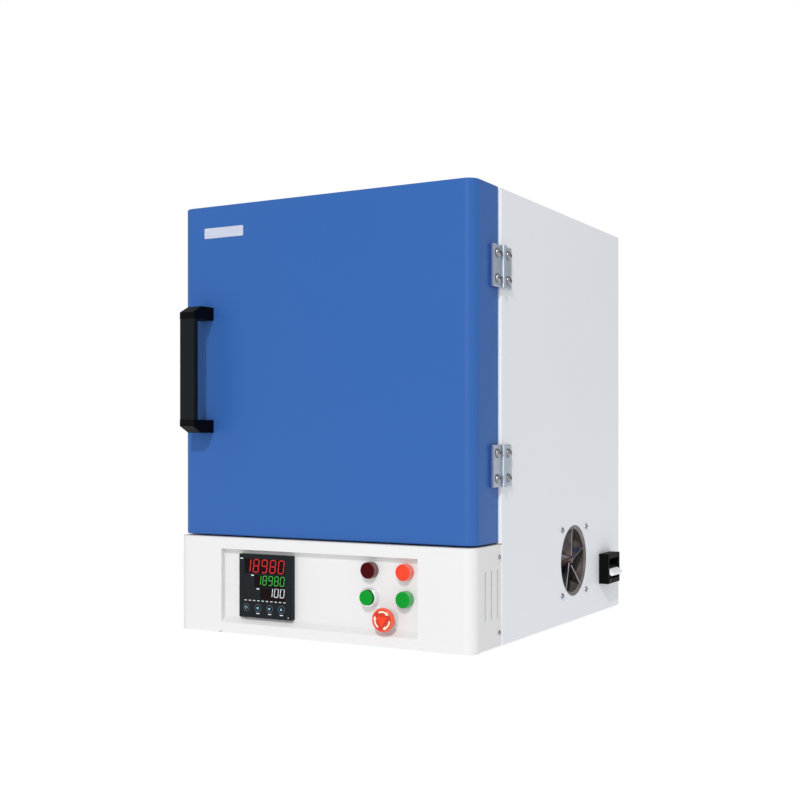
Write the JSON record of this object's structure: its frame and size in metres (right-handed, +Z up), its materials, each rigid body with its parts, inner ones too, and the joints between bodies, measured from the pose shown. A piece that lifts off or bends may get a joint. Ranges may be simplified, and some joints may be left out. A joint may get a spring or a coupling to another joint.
{
  "type": "muffle furnace",
  "caption": "Bench-top muffle furnace with a thick side-hinged door, bridge handle, recessed control panel, insulated chamber, side fan and breaker.",
  "frame": {"origin": "centre of the footprint of the whole furnace, on the bench plane under the feet", "axes": "+Z up, +X to the operator's right (hinge side), +Y towards the rear; the door faces -Y"},
  "size_m": [0.5396, 0.6504, 0.6566],
  "materials": {
    "blue_paint": "semi-gloss powder coat",
    "white_paint": "semi-gloss powder coat",
    "white_cover": "satin powder coat",
    "zinc_steel": "zinc plated",
    "black_plastic": "moulded",
    "grip_plastic": "moulded",
    "silver_plate": "brushed",
    "bright_steel": "brushed",
    "fibre_board": "fired ceramic fibre",
    "refractory": "fired refractory",
    "gasket_fibre": "woven",
    "element_rod": "oxidised",
    "ceramic": "glazed",
    "steel_tube": "heat tinted",
    "rubber": "matte",
    "display_pane": "smoked",
    "controller_plastic": "moulded",
    "key_plastic": "moulded",
    "lens_dark": "translucent",
    "lens_orange": "translucent",
    "lens_green": "translucent",
    "button_green": "moulded",
    "ring_chrome": "polished",
    "stop_red": "moulded",
    "fan_metal": "cast",
    "blade_metal": "pressed",
    "breaker_black": "moulded",
    "lever_white": "moulded",
    "electrics_mixed": "as supplied"
  },
  "bodies": {
    "cabinet": {"hinge_screws_cabinet": "zinc_steel", "left_side_panel": "white_paint", "right_side_panel": "white_paint", "top_panel": "white_paint", "front_frame": "white_paint", "rear_cover": "white_paint", "base_pan": "bright_steel", "feet": "rubber", "shelf": "bright_steel", "casing_rails": "bright_steel", "inner_casing": "bright_steel", "throat_collar": "refractory", "roof_board": "fibre_board", "floor_board": "fibre_board", "left_board": "fibre_board", "right_board": "fibre_board", "back_board": "fibre_board", "hearth_plate": "refractory", "heating_elements": "element_rod", "element_terminals": "ceramic", "thermocouple": "ceramic", "flue_tube": "steel_tube", "front_cover": "white_cover", "panel_screws": "zinc_steel", "controller_housing": "controller_plastic", "display_windows": "display_pane", "switch_bodies": "black_plastic", "start_ring": "ring_chrome", "stop_collar": "stop_red", "fan_frame": "fan_metal", "fan_screws": "zinc_steel", "breaker_housing": "breaker_black", "electrics": "electrics_mixed", "cable_gland": "black_plastic", "hinge_leaves_cabinet": "zinc_steel", "hinge_pins": "zinc_steel", "lamp_lens_dark": "lens_dark", "lamp_lens_orange": "lens_orange", "lamp_lens_green": "lens_green"},
    "door": {"door_shell": "blue_paint", "door_inner_plate": "bright_steel", "door_insulation": "fibre_board", "door_plug": "refractory", "door_gasket": "gasket_fibre", "handle_brackets": "black_plastic", "handle_grip": "grip_plastic", "door_screws": "zinc_steel", "nameplate": "silver_plate", "hinge_packings": "zinc_steel", "hinge_leaves_door": "zinc_steel"},
    "fan_rotor": {"fan_impeller": "blade_metal"},
    "start_button": {"start_cap": "button_green"},
    "stop_plunger": {"stop_stem": "stop_red"},
    "stop_knob": {"stop_head": "stop_red"},
    "menu_key": {"key_menu": "key_plastic"},
    "left_key": {"key_left": "key_plastic"},
    "down_key": {"key_down": "key_plastic"},
    "up_key": {"key_up": "key_plastic"},
    "breaker_toggle": {"breaker_lever": "lever_white"},
    "breaker_test": {"test_button": "lever_white"}
  },
  "joints": [
    {"name": "door_hinge", "type": "hinge", "parent": "cabinet", "child": "door", "pos_m": [0.25026, -0.198, 0.403], "axis": [0, 0, 1], "range_deg": [0, 120]},
    {"name": "fan_spin", "type": "hinge", "parent": "cabinet", "child": "fan_rotor", "pos_m": [0.24435, 0.08935, 0.099], "axis": [1, 0, 0], "continuous": true},
    {"name": "start_press", "type": "slide", "parent": "cabinet", "child": "start_button", "axis": [0, 1, 0], "range_m": [0, 0.003], "stiffness_N_per_m": 300},
    {"name": "stop_press", "type": "slide", "parent": "cabinet", "child": "stop_plunger", "axis": [0, 1, 0], "range_m": [0, 0.005]},
    {"name": "stop_twist", "type": "hinge", "parent": "stop_plunger", "child": "stop_knob", "pos_m": [0.10726, -0.29725, 0.041], "axis": [0, 1, 0], "range_deg": [0, 30], "stiffness_Nm_per_rad": 0.02},
    {"name": "menu_press", "type": "slide", "parent": "cabinet", "child": "menu_key", "axis": [0, 1, 0], "range_m": [0, 0.0004], "stiffness_N_per_m": 1500},
    {"name": "left_press", "type": "slide", "parent": "cabinet", "child": "left_key", "axis": [0, 1, 0], "range_m": [0, 0.0004], "stiffness_N_per_m": 1500},
    {"name": "down_press", "type": "slide", "parent": "cabinet", "child": "down_key", "axis": [0, 1, 0], "range_m": [0, 0.0004], "stiffness_N_per_m": 1500},
    {"name": "up_press", "type": "slide", "parent": "cabinet", "child": "up_key", "axis": [0, 1, 0], "range_m": [0, 0.0004], "stiffness_N_per_m": 1500},
    {"name": "breaker_throw", "type": "hinge", "parent": "cabinet", "child": "breaker_toggle", "pos_m": [0.25455, 0.23415, 0.0745], "axis": [0, -1, 0], "range_deg": [0, 70]},
    {"name": "test_press", "type": "slide", "parent": "cabinet", "child": "breaker_test", "axis": [-1, 0, 0], "range_m": [0, 0.0006], "stiffness_N_per_m": 500}
  ]
}
